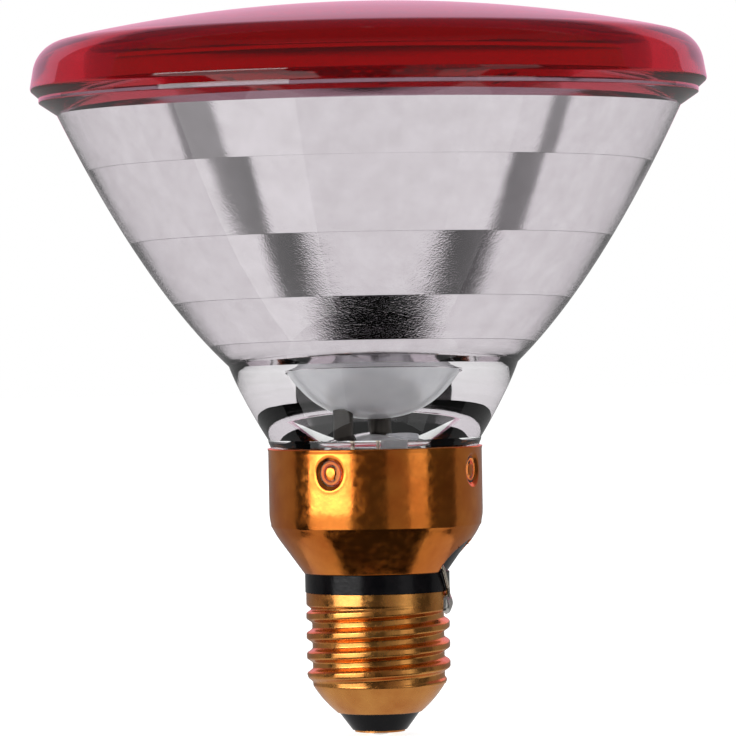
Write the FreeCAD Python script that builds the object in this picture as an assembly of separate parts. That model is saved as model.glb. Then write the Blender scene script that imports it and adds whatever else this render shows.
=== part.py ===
import FreeCAD, Part
import math
import os

os.makedirs("parts", exist_ok=True)

# An infrared reflector lamp that stands on its centre contact: millimetres, +Z from the cap to the lens.
# Its front faces -Y, and angles round the axis are in degrees from there towards +X.

# Screw shell
THREAD_PITCH = 3.629
THREAD_TURNS = 4
CREST_R = 13.1
ROOT_R = 12.05
SHELL_WALL = 0.3
BAND_R = 13.05
BAND_HEIGHT = 2.5
TAPER_END_R = 7.75
TAPER_HEIGHT = 5.05
TAPER_BULGE = 0.35

# Contact end of the cap
SOLDER_DROP = 0.7
SOLDER_R = 2.4
CONTACT_WALL = 0.35
CONTACT_R = 4.6
COLLAR_TUBE_R = 1.3
COLLAR_TUBE_HEIGHT = 3.0
NOSE_R = 5.0
NOSE_HEIGHT = 3.2
NOSE_ROOF_HEIGHT = 3.8

# Black insulator between the screw shell and the skirt
RING_R = 13.2
RING_HEIGHT = 3.4
SPIGOT_DEPTH = 1.5
INSULATOR_BORE_R = 7.0
INSULATOR_RISE = 7.0

# Brass skirt
SKIRT_R = 19.5
SKIRT_WALL = 0.35
SKIRT_END_R = 13.27
SKIRT_CONE_HEIGHT = 8.7
SKIRT_STRAIGHT_HEIGHT = 14.2
SKIRT_KNEE = 4.0
LIP_FLARE = 0.15
LIP_HEIGHT = 0.6
SLOT_R = 6.0
SLOT_ANGLE = 80.0
DIMPLE_COUNT = 4
DIMPLE_FIRST_ANGLE = -25.0
DIMPLE_BELOW_LIP = 4.2
DIMPLE_MOUTH_R = 2.8
DIMPLE_FLOOR_R = 1.8
DIMPLE_DEPTH = 1.0

# Pressed glass reflector
COLLAR_DEPTH = 11.6
NECK_R = 19.45
NECK_STRAIGHT = 1.6
NECK_FLARE = 2.6
NECK_FLARE_HEIGHT = 4.3
BREAK_ABOVE_LIP = 15.1
BELL_STEPS = 4
BELL_FOCAL_LENGTH = 13.7
BELL_VERTEX_ABOVE_LIP = 2.4
GLASS_WALL = 3.2
FLANGE_WIDTH = 5.36
FLANGE_ABOVE_LIP = 64.4
FLANGE_SLOPE_HEIGHT = 2.6
FLANGE_EDGE_HEIGHT = 0.4
BANDS_ABOVE_LIP = (20.6, 28.2, 39.2, 52.4)
LEDGE_ABOVE_LIP = 16.4
BOWL_R = 10.5
BOWL_DEPTH = 8.0
BOWL_WALL = 2.7
HOLLOW_R = 10.5
HOLLOW_CHAMFER = 1.2

# Red pressed front lens
LENS_OVERHANG = 1.6
LENS_LIP_HEIGHT = 1.4
LENS_DRAFT = 1.4
LENS_CROWN_R = 290.0
LENS_HEIGHT = 16.4
LENS_WALL = 3.2
LENS_SEAL_WIDTH = 8.1
LENS_ROOM_DRAFT = 0.6
LENS_SHOULDER = 4.0
LENS_SHOULDER_DROP = 6.3

# Lead seals, exhaust tube and filament
SEAL_CIRCLE_R = 4.3
EXHAUST_ANGLE = 52.0
SEAL_SPREAD = 120.0
FERRULE_R = 1.3
FERRULE_WALL = 0.25
FERRULE_PROUD = 0.6
EXHAUST_R = 2.4
EXHAUST_BORE_R = 1.2
EXHAUST_LENGTH = 6.2
LEAD_R = 0.45
LEAD_BEND = 0.9
LEAD_END_RUN = 2.0
LEAD_OVERHANG = 1.2
LEAD_REACH = 1.6
COIL_WIRE = 0.45
COIL_LENGTH = 15.0
BRIDGE_ABOVE_FERRULE = 0.8
BRIDGE_OVERHANG = 1.6
BRIDGE_WIDTH = 2.6
BRIDGE_HEIGHT = 1.8
SUPPORT_R = 0.25
SUPPORT_BEND = 0.5
SUPPORT_END_RUN = 1.2

# Wires in the cap
CAP_WIRE_R = 0.4
CAP_WIRE_BEND = 2.5
CENTRE_WIRE_TURN_BELOW_LIP = (2.6, 10.6)
SIDE_WIRE_TURN_BELOW_LIP = 4.6
SIDE_WIRE_INNER_R = 8.0
SIDE_WIRE_INNER_HEIGHT = 6.8
SIDE_EXIT_ANGLE = 58.0
SIDE_EXIT_HEIGHT = 1.0
SIDE_RING_ANGLE = 69.0
SIDE_RING_HEIGHT = 0.7
SIDE_WIRE_BEND = 0.8
SIDE_END_ANGLE = 73.0
SIDE_SOLDER_DEPTH = 2.2
SIDE_SOLDER_R = 2.0
SIDE_SOLDER_HEIGHT = 1.15
SLEEVE_WALL = 0.45
SLEEVE_BELOW_LIP = 11.6

# Clearances
SEAT_CLEARANCE = 0.05
SKIRT_CLEARANCE = 0.15
POCKET_CLEARANCE = 0.1
WIRE_CLEARANCE = 0.1
COIL_CLEARANCE = 0.1

# For each unit of wall, the mirror's focal length is this much shorter than the bell's, to keep the wall even.
FOCAL_LOSS = 0.3

# Heights from the solder's tip upwards
NOSE_Z = SOLDER_DROP + CONTACT_WALL
SHELL_Z = NOSE_Z + NOSE_HEIGHT
TAPER_Z = SHELL_Z + TAPER_HEIGHT
BAND_Z = TAPER_Z + THREAD_TURNS * THREAD_PITCH
RING_Z = BAND_Z + BAND_HEIGHT
SKIRT_Z = RING_Z + RING_HEIGHT
KNEE_Z = SKIRT_Z + SKIRT_CONE_HEIGHT
LIP_Z = KNEE_Z + SKIRT_STRAIGHT_HEIGHT
COLLAR_Z = LIP_Z - COLLAR_DEPTH
BREAK_Z = LIP_Z + BREAK_ABOVE_LIP
LEDGE_Z = LIP_Z + LEDGE_ABOVE_LIP
BOWL_Z = LEDGE_Z - BOWL_DEPTH
HOLLOW_Z = BOWL_Z - BOWL_WALL
FLANGE_Z = LIP_Z + FLANGE_ABOVE_LIP
CROWN_Z = FLANGE_Z + LENS_HEIGHT
BELL_VERTEX_Z = LIP_Z + BELL_VERTEX_ABOVE_LIP
MIRROR_VERTEX_Z = BELL_VERTEX_Z + GLASS_WALL
MIRROR_FOCAL_LENGTH = BELL_FOCAL_LENGTH - GLASS_WALL * FOCAL_LOSS
FILAMENT_Z = MIRROR_VERTEX_Z + MIRROR_FOCAL_LENGTH

CONE_SLOPE = (SKIRT_R - SKIRT_END_R) / SKIRT_CONE_HEIGHT
COIL_R = LEAD_R + COIL_CLEARANCE + COIL_WIRE
SUPPORT_LOOP_R = COIL_R + SEAT_CLEARANCE + SUPPORT_R
COLLAR_R = SKIRT_R - SKIRT_WALL - SKIRT_CLEARANCE

ORIGIN = FreeCAD.Vector(0, 0, 0)
UP = FreeCAD.Vector(0, 0, 1)


def at(radius, height):
    return FreeCAD.Vector(radius, 0, height)


def round_axis(radius, angle, height):
    turn = math.radians(angle)
    return FreeCAD.Vector(radius * math.sin(turn), -radius * math.cos(turn), height)


def straight(*points):
    return [Part.LineSegment(a, b).toShape() for a, b in zip(points, points[1:])]


def lathe_points(*points):
    """The solid that a closed outline of radii and heights sweeps round the Z axis."""
    outline = Part.Wire(straight(*points, points[0]))
    return Part.makeSolid(Part.Face(outline).revolve(ORIGIN, UP, 360))


def corner(before, here, after, rounding):
    """The start, middle and end of a corner's rounding."""
    back = (before - here).normalize()
    ahead = (after - here).normalize()
    half = back.getAngle(ahead) / 2
    reach = rounding / math.tan(half)
    inward = (back + ahead).normalize()
    middle = here + inward * (rounding / math.sin(half) - rounding)
    return [here + back * reach, middle, here + ahead * reach]


def wire(points, radius, bends):
    """A round wire along straight runs, with two short mitred runs for each bend's radius."""
    route = [points[0]]
    for before, here, after, bend in zip(points, points[1:], points[2:], bends):
        route += corner(before, here, after, bend)
    path = Part.Wire(straight(*route, points[-1]))
    section = Part.Wire(Part.makeCircle(radius, points[0], points[1] - points[0]))
    return path.makePipeShell([section], True, False, 1)


def rod(start, end, radius):
    return Part.makeCylinder(radius, (end - start).Length, start, end - start)


def parabola_r(height, vertex, focal_length):
    return math.sqrt(4 * focal_length * (height - vertex))


def bell_r(height):
    return parabola_r(height, BELL_VERTEX_Z, BELL_FOCAL_LENGTH)


def mirror_r(height):
    return parabola_r(height, MIRROR_VERTEX_Z, MIRROR_FOCAL_LENGTH)


FLANGE_R = mirror_r(FLANGE_Z) + FLANGE_WIDTH
LENS_R = FLANGE_R + LENS_OVERHANG


def cone_r(height, inset):
    """The skirt cone's radius at a height, measured inwards from its outer face."""
    return SKIRT_END_R + CONE_SLOPE * (height - SKIRT_Z) - inset * math.hypot(1, CONE_SLOPE)


# Screw shell and contact end

def screw_shell():
    """The sheet shell: a plain band, the thread's crests as rings over a plain bore, and the taper."""
    flat = THREAD_PITCH / 4
    outer = [at(BAND_R, RING_Z), at(BAND_R, BAND_Z + flat), at(ROOT_R, BAND_Z)]
    for turn in range(THREAD_TURNS):
        top = BAND_Z - turn * THREAD_PITCH
        outer += [at(CREST_R, top - flat), at(CREST_R, top - 2 * flat), at(ROOT_R, top - 3 * flat)]
        outer.append(at(ROOT_R, top - 4 * flat))
    end = at(TAPER_END_R, SHELL_Z)
    outer += [(outer[-1] + end) * 0.5 + at(TAPER_BULGE, -TAPER_BULGE), end]
    bore = ROOT_R - SHELL_WALL
    inner = [at(TAPER_END_R - SHELL_WALL, SHELL_Z), at(bore, TAPER_Z), at(bore, BAND_Z)]
    inner += [at(BAND_R - SHELL_WALL, BAND_Z + flat), at(BAND_R - SHELL_WALL, RING_Z)]
    return lathe_points(*outer, *inner)


def contact_insulator():
    """Black glass that fills the shell's contact end and carries the contact."""
    inset = SHELL_WALL + SEAT_CLEARANCE
    roof = SHELL_Z + NOSE_ROOF_HEIGHT
    side_r = TAPER_END_R - inset
    slope = (ROOT_R - TAPER_END_R) / TAPER_HEIGHT
    return lathe_points(
        at(COLLAR_TUBE_R, NOSE_Z),
        at(NOSE_R, NOSE_Z),
        at(side_r, SHELL_Z),
        at(side_r + slope * NOSE_ROOF_HEIGHT, roof),
        at(COLLAR_TUBE_R, roof),
    )


def centre_contact():
    """A brass eyelet: a disc with a collar tube that holds it in the black glass."""
    tube_in = COLLAR_TUBE_R - CONTACT_WALL
    tube_top = NOSE_Z + COLLAR_TUBE_HEIGHT
    return lathe_points(
        at(tube_in, SOLDER_DROP),
        at(CONTACT_R, SOLDER_DROP),
        at(CONTACT_R, NOSE_Z),
        at(COLLAR_TUBE_R, NOSE_Z),
        at(COLLAR_TUBE_R, tube_top),
        at(tube_in, tube_top),
    )


def centre_solder():
    """Solder that domes over the eyelet and fills the foot of its tube round the wire."""
    tube_in = COLLAR_TUBE_R - CONTACT_WALL
    top = NOSE_Z + CONTACT_WALL
    dome = [at(0, 0), at(SOLDER_R * 0.55, SOLDER_DROP * 0.2), at(SOLDER_R, SOLDER_DROP)]
    plug = [at(tube_in, SOLDER_DROP), at(tube_in, top), at(0, top)]
    return lathe_points(*dome, *plug).cut(centre_wire())


# Skirt and insulator

def skirt_space(inset, grow):
    """The skirt's turned form below its lip, moved inwards, less the crimping punches grown all round."""
    top = LIP_Z - LIP_HEIGHT
    lift = inset * math.tan(math.atan(CONE_SLOPE) / 2)
    foot = at(cone_r(SKIRT_Z, inset), SKIRT_Z)
    rim = at(SKIRT_R - inset, top)
    knee = corner(foot, at(SKIRT_R - inset, KNEE_Z + lift), rim, SKIRT_KNEE - inset)
    body = lathe_points(at(0, SKIRT_Z), foot, knee[0], knee[2], rim, at(0, top))
    return body.cut(punches(grow))


def punches(grow):
    """The crimping punches that press the dimples, grown all round by a sheet or a clearance."""
    slope = (DIMPLE_MOUTH_R - DIMPLE_FLOOR_R) / DIMPLE_DEPTH
    tip_r = DIMPLE_FLOOR_R + grow * (math.hypot(1, slope) - slope)
    length = 2 * DIMPLE_DEPTH + grow
    cones = []
    for i in range(DIMPLE_COUNT):
        angle = DIMPLE_FIRST_ANGLE + 360 * i / DIMPLE_COUNT
        tip = round_axis(SKIRT_R - DIMPLE_DEPTH - grow, angle, LIP_Z - DIMPLE_BELOW_LIP)
        cones.append(Part.makeCone(tip_r, tip_r + slope * length, length, tip, round_axis(1, angle, 0)))
    return cones


def brass_skirt():
    inner_r = SKIRT_R - SKIRT_WALL
    lip = lathe_points(
        at(inner_r, LIP_Z - LIP_HEIGHT),
        at(SKIRT_R, LIP_Z - LIP_HEIGHT),
        at(SKIRT_R + LIP_FLARE, LIP_Z),
        at(inner_r + LIP_FLARE, LIP_Z),
    )
    slot = Part.makeCylinder(SLOT_R, 2 * SKIRT_R, at(0, SKIRT_Z), round_axis(1, SLOT_ANGLE, 0))
    sheet = skirt_space(0, 0).cut(skirt_space(SKIRT_WALL, SKIRT_WALL)).cut(slot)
    return sheet.fuse(lip).removeSplitter()


def cap_insulator():
    """The black body in the skirt's cone, the ring that shows below it and the spigot in the shell."""
    inset = SKIRT_WALL + SEAT_CLEARANCE
    top = SKIRT_Z + INSULATOR_RISE
    spigot_r = BAND_R - SHELL_WALL - SEAT_CLEARANCE
    spigot_z = RING_Z - SPIGOT_DEPTH
    body = lathe_points(
        at(INSULATOR_BORE_R, spigot_z),
        at(spigot_r, spigot_z),
        at(spigot_r, RING_Z),
        at(RING_R, RING_Z),
        at(RING_R, SKIRT_Z),
        at(cone_r(SKIRT_Z, inset), SKIRT_Z),
        at(cone_r(top, inset), top),
        at(INSULATOR_BORE_R, top),
    )
    return body.cut(side_wire(WIRE_CLEARANCE))


# Glass

def reflector_outside():
    """The reflector's outer side, from its collar over the neck and the bell to its flange."""
    shoulder_z = LIP_Z + SKIRT_CLEARANCE
    bell_top = FLANGE_Z - FLANGE_EDGE_HEIGHT - FLANGE_SLOPE_HEIGHT
    neck = [
        at(0, COLLAR_Z),
        at(COLLAR_R, COLLAR_Z),
        at(COLLAR_R, shoulder_z),
        at(NECK_R, shoulder_z),
        at(NECK_R, LIP_Z + NECK_STRAIGHT),
        at(NECK_R + NECK_FLARE, LIP_Z + NECK_STRAIGHT + NECK_FLARE_HEIGHT),
    ]
    steps = [(i / BELL_STEPS) ** 1.4 for i in range(BELL_STEPS + 1)]
    heights = [BREAK_Z + (bell_top - BREAK_Z) * step for step in steps]
    bell = [at(bell_r(z), z) for z in heights]
    flange = [at(FLANGE_R, FLANGE_Z - FLANGE_EDGE_HEIGHT), at(FLANGE_R, FLANGE_Z), at(0, FLANGE_Z)]
    return lathe_points(*neck, *bell, *flange)


BOWL_BALL_R = (BOWL_R ** 2 + BOWL_DEPTH ** 2) / (2 * BOWL_DEPTH)


def bowl_z(radius):
    return BOWL_Z + BOWL_BALL_R - math.sqrt(BOWL_BALL_R ** 2 - radius ** 2)


def mirror_space():
    """The space in front of the mirror: conical bands, the ledge and the small bowl at the heel."""
    levels = [LEDGE_Z] + [LIP_Z + z for z in BANDS_ABOVE_LIP] + [FLANGE_Z]
    bands = lathe_points(at(0, LEDGE_Z), *[at(mirror_r(z), z) for z in levels], at(0, FLANGE_Z))
    bowl = Part.makeSphere(BOWL_BALL_R, at(0, BOWL_Z + BOWL_BALL_R), FreeCAD.Vector(1, 0, 0))
    return bands.fuse(bowl.common(Part.makeCylinder(BOWL_R, LEDGE_Z)))


def collar_hollow():
    return lathe_points(
        at(0, COLLAR_Z),
        at(HOLLOW_R, COLLAR_Z),
        at(HOLLOW_R, HOLLOW_Z - HOLLOW_CHAMFER),
        at(HOLLOW_R - HOLLOW_CHAMFER, HOLLOW_Z),
        at(0, HOLLOW_Z),
    )


def reflector_glass():
    holes = [ferrule_rod(side, FERRULE_R) for side in (-1, 1)]
    foot = round_axis(SEAL_CIRCLE_R, EXHAUST_ANGLE, HOLLOW_Z)
    holes.append(Part.makeCylinder(EXHAUST_BORE_R, BOWL_DEPTH, foot))
    glass = reflector_outside().cut([mirror_space(), collar_hollow()] + holes)
    return glass.cut(punches(SKIRT_WALL + POCKET_CLEARANCE))


def exhaust_tube():
    """The glass tube that the lamp was pumped through, closed off in a narrow tip."""
    tip_z = HOLLOW_Z - EXHAUST_LENGTH
    shoulder_z = tip_z + EXHAUST_R
    tube = lathe_points(
        at(0, tip_z),
        at(EXHAUST_R / 3, tip_z),
        at(EXHAUST_R, shoulder_z),
        at(EXHAUST_R, HOLLOW_Z),
        at(EXHAUST_BORE_R, HOLLOW_Z),
        at(EXHAUST_BORE_R, shoulder_z),
        at(0, shoulder_z),
    )
    tube.translate(round_axis(SEAL_CIRCLE_R, EXHAUST_ANGLE, 0))
    return tube


def crowned(inset, *side):
    """A turned block with the given side, rounded off above by the lens's crown moved inwards."""
    block = lathe_points(at(0, FLANGE_Z), *side, at(side[-1].x, CROWN_Z), at(0, CROWN_Z))
    ball = Part.makeSphere(LENS_CROWN_R - inset, at(0, CROWN_Z - LENS_CROWN_R), FreeCAD.Vector(1, 0, 0))
    return block.common(ball)


def front_lens():
    """The domed lens with its thick rim, which is fused to the reflector's flange."""
    foot = at(FLANGE_R, FLANGE_Z)
    widest = at(LENS_R, FLANGE_Z + LENS_LIP_HEIGHT)
    top = at(LENS_R - LENS_DRAFT, CROWN_Z - LENS_SHOULDER_DROP)
    rounding = corner(widest, top, at(0, CROWN_Z), LENS_SHOULDER)
    outside = crowned(0, foot, widest, *rounding)
    room_foot = at(FLANGE_R - LENS_SEAL_WIDTH, FLANGE_Z)
    room = crowned(LENS_WALL, room_foot, at(room_foot.x - LENS_ROOM_DRAFT, top.z - LENS_WALL))
    return outside.cut(room)


# Lead seals and filament

FERRULE_TOP = bowl_z(SEAL_CIRCLE_R + FERRULE_R) + FERRULE_PROUD
FERRULE_FOOT = HOLLOW_Z - FERRULE_PROUD
BRIDGE_Z = FERRULE_TOP + BRIDGE_ABOVE_FERRULE


def ferrule_axis(side, height):
    return round_axis(SEAL_CIRCLE_R, EXHAUST_ANGLE + side * SEAL_SPREAD, height)


def ferrule_rod(side, radius):
    return rod(ferrule_axis(side, FERRULE_FOOT), ferrule_axis(side, FERRULE_TOP), radius)


def ferrule(side):
    """A metal cup that is sealed through the glass, open towards the cap."""
    foot = ferrule_axis(side, FERRULE_FOOT)
    roof = ferrule_axis(side, FERRULE_TOP - FERRULE_WALL)
    return ferrule_rod(side, FERRULE_R).cut(rod(foot, roof, FERRULE_R - FERRULE_WALL))


def filament_point(along, across, height):
    """A point given along the filament and across it, away from the exhaust tube."""
    return (
        round_axis(along, EXHAUST_ANGLE + 90, 0)
        + round_axis(-across, EXHAUST_ANGLE, 0)
        + FreeCAD.Vector(0, 0, height)
    )


SEAL_ACROSS = -SEAL_CIRCLE_R * math.cos(math.radians(SEAL_SPREAD))
SEAL_ALONG = SEAL_CIRCLE_R * math.sin(math.radians(SEAL_SPREAD))


def filament_lead(side):
    """A stiff wire from the ferrule's top through the bridge, with its end in the coil."""
    out = side * (COIL_LENGTH / 2 + LEAD_OVERHANG)
    route = [
        ferrule_axis(side, FERRULE_TOP),
        ferrule_axis(side, BRIDGE_Z + BRIDGE_HEIGHT + LEAD_BEND),
        filament_point(out, 0, FILAMENT_Z - LEAD_END_RUN),
        filament_point(out, 0, FILAMENT_Z),
        filament_point(side * (COIL_LENGTH / 2 - LEAD_REACH), 0, FILAMENT_Z),
    ]
    return wire(route, LEAD_R, [LEAD_BEND] * 3)


def filament_coil():
    """The coiled filament as a plain tube of its outer size, with room for the leads' ends."""
    start = filament_point(-COIL_LENGTH / 2, 0, FILAMENT_Z)
    end = filament_point(COIL_LENGTH / 2, 0, FILAMENT_Z)
    return rod(start, end, COIL_R).cut(rod(start, end, COIL_R - COIL_WIRE))


def filament_bridge():
    """A ceramic bar that the leads and the support stand in."""
    length = 2 * (SEAL_ALONG + BRIDGE_OVERHANG)
    bar = Part.makeBox(length, BRIDGE_WIDTH, BRIDGE_HEIGHT, FreeCAD.Vector(-length / 2, -BRIDGE_WIDTH / 2, 0))
    bar = bar.makeChamfer(BRIDGE_HEIGHT / 6, bar.Edges)
    bar.rotate(ORIGIN, UP, EXHAUST_ANGLE)
    bar.translate(filament_point(0, SEAL_ACROSS, BRIDGE_Z))
    top = BRIDGE_Z + BRIDGE_HEIGHT
    holes = [rod(ferrule_axis(s, FERRULE_TOP), ferrule_axis(s, top), LEAD_R + SEAT_CLEARANCE) for s in (-1, 1)]
    foot = filament_point(0, SEAL_ACROSS, BRIDGE_Z)
    holes.append(rod(foot, filament_point(0, SEAL_ACROSS, top), SUPPORT_R + SEAT_CLEARANCE))
    return bar.cut(holes)


def filament_support():
    """A thin wire from the bridge that carries the coil's middle in a flattened loop."""
    loop_foot = FILAMENT_Z - SUPPORT_LOOP_R
    stem = wire([
        filament_point(0, SEAL_ACROSS, BRIDGE_Z),
        filament_point(0, SEAL_ACROSS, BRIDGE_Z + BRIDGE_HEIGHT + SUPPORT_BEND),
        filament_point(0, 0, loop_foot - SUPPORT_END_RUN),
        filament_point(0, 0, loop_foot),
    ], SUPPORT_R, [SUPPORT_BEND] * 2)
    ends = [filament_point(side * SUPPORT_R, 0, FILAMENT_Z) for side in (-1, 1)]
    loop = rod(*ends, SUPPORT_LOOP_R + SUPPORT_R).cut(rod(*ends, SUPPORT_LOOP_R - SUPPORT_R))
    return stem.fuse(loop)


# Wires in the cap

def centre_wire():
    """The wire from one ferrule down the middle of the cap to the centre contact."""
    first_turn, last_turn = CENTRE_WIRE_TURN_BELOW_LIP
    route = [
        ferrule_axis(-1, FERRULE_TOP - FERRULE_WALL),
        ferrule_axis(-1, LIP_Z - first_turn),
        at(0, LIP_Z - last_turn),
        at(0, SOLDER_DROP),
    ]
    return wire(route, CAP_WIRE_R, [CAP_WIRE_BEND] * 2)


def wire_sleeve():
    """A woven glass sleeve on the straight part of the centre wire."""
    bore = CAP_WIRE_R + SEAT_CLEARANCE
    low = at(0, NOSE_Z + COLLAR_TUBE_HEIGHT)
    high = at(0, LIP_Z - SLEEVE_BELOW_LIP)
    return rod(low, high, bore + SLEEVE_WALL).cut(rod(low, high, bore))


def side_wire(grow):
    """The wire from the other ferrule through the insulator and over the black ring to the shell."""
    ring_touch = RING_R + CAP_WIRE_R + SEAT_CLEARANCE
    route = [
        ferrule_axis(1, FERRULE_TOP - FERRULE_WALL),
        ferrule_axis(1, LIP_Z - SIDE_WIRE_TURN_BELOW_LIP),
        round_axis(SIDE_WIRE_INNER_R, SIDE_EXIT_ANGLE, SKIRT_Z + SIDE_WIRE_INNER_HEIGHT),
        round_axis(cone_r(SKIRT_Z + SIDE_EXIT_HEIGHT, 0), SIDE_EXIT_ANGLE, SKIRT_Z + SIDE_EXIT_HEIGHT),
        round_axis(ring_touch, SIDE_RING_ANGLE, RING_Z + SIDE_RING_HEIGHT),
        round_axis(BAND_R + CAP_WIRE_R + SEAT_CLEARANCE, SIDE_END_ANGLE, RING_Z - SIDE_SOLDER_DEPTH),
    ]
    bends = [CAP_WIRE_BEND] * 2 + [SIDE_WIRE_BEND] * 2
    return wire(route, CAP_WIRE_R + grow, bends)


def side_solder():
    """The lump that joins the side wire's end to the shell's plain band."""
    ball_r = (SIDE_SOLDER_R ** 2 + SIDE_SOLDER_HEIGHT ** 2) / (2 * SIDE_SOLDER_HEIGHT)
    centre = round_axis(BAND_R + SIDE_SOLDER_HEIGHT - ball_r, SIDE_END_ANGLE, RING_Z - SIDE_SOLDER_DEPTH)
    shell_core = Part.makeCylinder(CREST_R, SKIRT_Z)
    below_ring = Part.makeCylinder(2 * RING_R, RING_Z)
    return Part.makeSphere(ball_r, centre).common(below_ring).cut([shell_core, side_wire(0)])


PIECES = {
    "front_lens": front_lens,
    "reflector_glass": reflector_glass,
    "exhaust_tube": exhaust_tube,
    "ferrule_left": lambda: ferrule(-1),
    "ferrule_right": lambda: ferrule(1),
    "filament_lead_left": lambda: filament_lead(-1),
    "filament_lead_right": lambda: filament_lead(1),
    "filament_coil": filament_coil,
    "filament_support": filament_support,
    "filament_bridge": filament_bridge,
    "brass_skirt": brass_skirt,
    "cap_insulator": cap_insulator,
    "screw_shell": screw_shell,
    "contact_insulator": contact_insulator,
    "centre_contact": centre_contact,
    "centre_solder": centre_solder,
    "centre_wire": centre_wire,
    "wire_sleeve": wire_sleeve,
    "side_wire": lambda: side_wire(0),
    "side_solder": side_solder,
}

for name, make in PIECES.items():
    shape = make()
    solids = shape.Solids
    print(name, len(solids), "solid", "valid" if shape.isValid() else "NOT VALID", round(shape.Volume, 2), "mm3")
    piece = solids[0] if len(solids) == 1 else shape
    piece.exportStep("parts/" + name + ".step")
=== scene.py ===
import math

import bmesh
import bpy
from mathutils import Matrix, Vector

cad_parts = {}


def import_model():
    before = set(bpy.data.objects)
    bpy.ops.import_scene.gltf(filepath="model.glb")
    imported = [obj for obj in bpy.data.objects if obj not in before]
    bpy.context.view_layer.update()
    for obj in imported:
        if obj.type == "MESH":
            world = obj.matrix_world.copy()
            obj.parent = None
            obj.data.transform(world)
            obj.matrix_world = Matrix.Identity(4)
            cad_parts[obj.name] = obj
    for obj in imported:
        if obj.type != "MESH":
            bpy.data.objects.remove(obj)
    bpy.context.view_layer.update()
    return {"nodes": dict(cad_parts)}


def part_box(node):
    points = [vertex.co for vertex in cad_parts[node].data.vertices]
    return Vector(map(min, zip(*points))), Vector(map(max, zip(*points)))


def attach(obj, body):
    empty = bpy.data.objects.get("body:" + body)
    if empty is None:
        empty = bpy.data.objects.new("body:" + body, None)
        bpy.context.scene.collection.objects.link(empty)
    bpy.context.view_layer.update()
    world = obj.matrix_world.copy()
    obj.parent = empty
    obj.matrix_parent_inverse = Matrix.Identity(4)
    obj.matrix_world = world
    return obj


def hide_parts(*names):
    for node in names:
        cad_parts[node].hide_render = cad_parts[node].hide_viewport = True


# An infrared reflector lamp on its screw cap. Profiles are in millimetres and go into the frame's metres
# by MM. The lamp's front faces -Y, and angles round the axis run from there towards +X.

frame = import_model()

MM = 0.001


def low(node):
    return Vector(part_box(node)[0]) / MM


def high(node):
    return Vector(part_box(node)[1]) / MM


# Heights and radii that the frame gives. The lens stays a hair inside its solid.
LENS_INSET = 0.02
RING_Z = high("screw_shell").z
SHELL_Z = low("screw_shell").z
SKIRT_Z = low("brass_skirt").z
LIP_Z = high("brass_skirt").z
COLLAR_Z = low("reflector_glass").z
FLANGE_Z = high("reflector_glass").z
CROWN_Z = high("front_lens").z
LENS_R = min(high("front_lens").x, high("front_lens").y) - LENS_INSET
FLANGE_R = min(high("reflector_glass").x, high("reflector_glass").y)
TUBE_LOW, TUBE_HIGH = low("exhaust_tube"), high("exhaust_tube")

# Screw shell
PITCH = 3.629
CREST_R = 13.1
ROOT_R = 12.05
CREST_AT_RIGHT = 20.15
BAND_R = 13.05
BAND_FOOT = 23.0
BAND_FADE = 1.2
TAPER_Z = 9.3
TAPER_END_R = 7.75
TAPER_BULGE = 1.4
THREAD_START = TAPER_Z - 0.6
THREAD_FULL = TAPER_Z + 2.2
THREAD_FLATS = (0.08, 0.92)
SHELL_SHEET = 0.3
SHELL_ROWS = 170
SHELL_COLUMNS = 240

# Skirt
SKIRT_R = 19.5
SKIRT_END_R = 13.27
SKIRT_SHEET = 0.35
SKIRT_ROWS = 84
SKIRT_COLUMNS = 400
KNEE_Z = 38.42
KNEE_REACH = 1.3
KNEE_SOFTNESS = 0.32
LIP_HEIGHT = 0.6
LIP_FLARE = 0.13
DIMPLE_ANGLE = -25.0
DIMPLE_Z = LIP_Z - 4.2
DIMPLE_TURN = 0.3
DIMPLE_SQUASH = 0.92
DIMPLE_MOUTH = 2.9
DIMPLE_FLOOR = 1.75
DIMPLE_DEPTH = 0.75
DIMPLE_RIM_WIDTH = 0.35
DIMPLE_RIM_RISE = 0.03
BOSS_TOP_R = 0.9
BOSS_FOOT_R = 1.7
BOSS_RISE = 0.45
SLOT_ANGLE = 80.0
SLOT_R = 6.0
SLOT_WALL_R = 14.0
SLOT_SNAP = 0.25

# Solder and filament
SOLDER_AROUND = 48
SOLDER_RINGS = 12
SOLDER_RISE = 1.1
SOLDER_SINK = 0.1
SOLDER_GAP = 0.05
COIL_R = 0.8
COIL_WIRE_R = 0.14
COIL_TURNS = 20
COIL_STEPS = 24
COIL_ENDS = 2.0

# Glass
COLLAR_R = 19.0
COLLAR_TOP_Z = LIP_Z + 0.15
NECK_R = 19.45
NECK_Z = LIP_Z + 1.6
NECK_FOOT_Z = NECK_Z - 0.4
NECK_ROUND = 1.2
NECK_POLES = ((0.2, 0.16), (0.72, 0.61))
NECK_STEPS = 20
BREAK_Z = LIP_Z + 15.1
BELL_VERTEX_Z = LIP_Z + 2.4
BELL_FOCUS = 13.7
MIRROR_VERTEX_Z = LIP_Z + 5.6
MIRROR_FOCUS = 12.74
LEDGE_Z = LIP_Z + 16.4
BAND_LEVELS = [LIP_Z + z for z in (20.6, 28.2, 39.2, 52.4)]
BAND_STEP = 0.08
BAND_ROWS = 6
BOWL_RIM_Z = LEDGE_Z + 1.2
BOWL_R = 10.7
BOWL_POWER = 2.6
BOWL_Z = LEDGE_Z - 6.9
BOWL_EDGE = 0.5
BOWL_SIDE = (BOWL_R * 0.85, BOWL_RIM_Z - 3)
BOWL_STEPS = 28
HOLLOW_R = 10.5
HOLLOW_EDGE = 0.5
HOLLOW_Z = LEDGE_Z - 9.4
HOLLOW_SAG = 3.8
HOLLOW_POWER = 1.2
HOLLOW_STEPS = 12
BELL_STEPS = 32
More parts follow.
